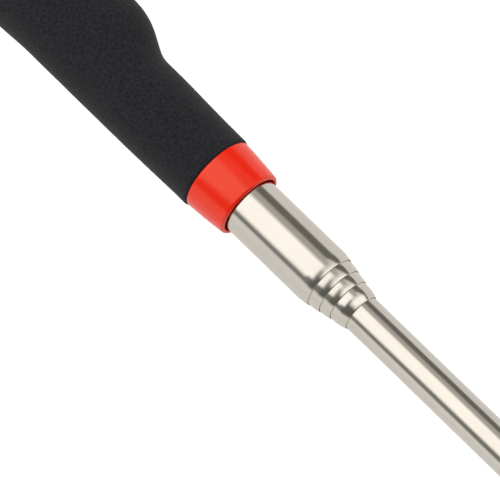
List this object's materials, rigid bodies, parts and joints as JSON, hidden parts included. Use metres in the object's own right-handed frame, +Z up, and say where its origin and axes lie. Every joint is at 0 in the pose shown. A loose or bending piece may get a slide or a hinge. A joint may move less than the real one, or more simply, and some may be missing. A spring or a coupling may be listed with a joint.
{
  "type": "telescopic reacher grabber",
  "caption": "Telescopic magnetic reacher: dark foam grip with one-sided swell, orange-red collar, nested steel tubes, tilting magnet head.",
  "frame": {"origin": "centre of the hang hole in the end cap, on the tool's axis", "axes": "+X along the tube axis towards the magnet tip, +Y towards the grip's swell, +Z up as the tool lies, along the hang hole"},
  "size_m": [0.3379, 0.0307, 0.0256],
  "materials": {
    "foam": "matte closed-cell foam",
    "red_plastic": "glossy moulded plastic",
    "stainless": "polished stainless with fine marks along its length",
    "plated": "satin nickel plate",
    "spring_steel": "bright spring steel",
    "dark_steel": "black oxide",
    "brass": "turned",
    "bronze": "rolled leaf",
    "black_nylon": "matte",
    "white_nylon": "matte",
    "felt": "pressed felt",
    "magnet": "bright nickel plate"
  },
  "bodies": {
    "handle": {"foam_grip": "foam", "front_collar": "red_plastic", "outer_tube": "stainless", "end_plug": "black_nylon", "buffer_pad": "felt", "end_cap": "red_plastic", "cap_pin": "spring_steel"},
    "second_section": {"second_tube": "stainless", "second_stop_ring": "brass", "second_friction_leaves": "bronze"},
    "third_section": {"third_tube": "stainless", "third_stop_ring": "brass", "third_friction_leaves": "bronze"},
    "fourth_section": {"fourth_tube": "stainless", "fourth_stop_ring": "brass", "fourth_friction_leaves": "bronze"},
    "fifth_section": {"fifth_tube": "stainless", "fifth_stop_ring": "brass", "fifth_friction_leaves": "bronze", "tip_socket": "plated", "spring_washer": "spring_steel", "swivel_washer": "white_nylon"},
    "swivel": {"swivel_stem": "spring_steel", "swivel_fork": "plated", "tilt_rivet": "spring_steel", "lug_washers": "bronze"},
    "head": {"magnet_housing": "plated", "magnet": "magnet", "magnet_screw": "dark_steel", "bumper_ring": "red_plastic"}
  },
  "joints": [
    {"name": "second_slide", "type": "slide", "parent": "handle", "child": "second_section", "axis": [1, 0, 0], "range_m": [0, 0.1415]},
    {"name": "third_slide", "type": "slide", "parent": "second_section", "child": "third_section", "axis": [1, 0, 0], "range_m": [0, 0.1448]},
    {"name": "fourth_slide", "type": "slide", "parent": "third_section", "child": "fourth_section", "axis": [1, 0, 0], "range_m": [0, 0.1482]},
    {"name": "fifth_slide", "type": "slide", "parent": "fourth_section", "child": "fifth_section", "axis": [1, 0, 0], "range_m": [-0.09, 0.0613]},
    {"name": "head_swivel", "type": "hinge", "parent": "fifth_section", "child": "swivel", "pos_m": [0.3113, 0, 0], "axis": [1, 0, 0], "continuous": true},
    {"name": "head_tilt", "type": "hinge", "parent": "swivel", "child": "head", "pos_m": [0.3113, 0, 0], "axis": [0, 0, 1], "range_deg": [-90, 90]}
  ]
}
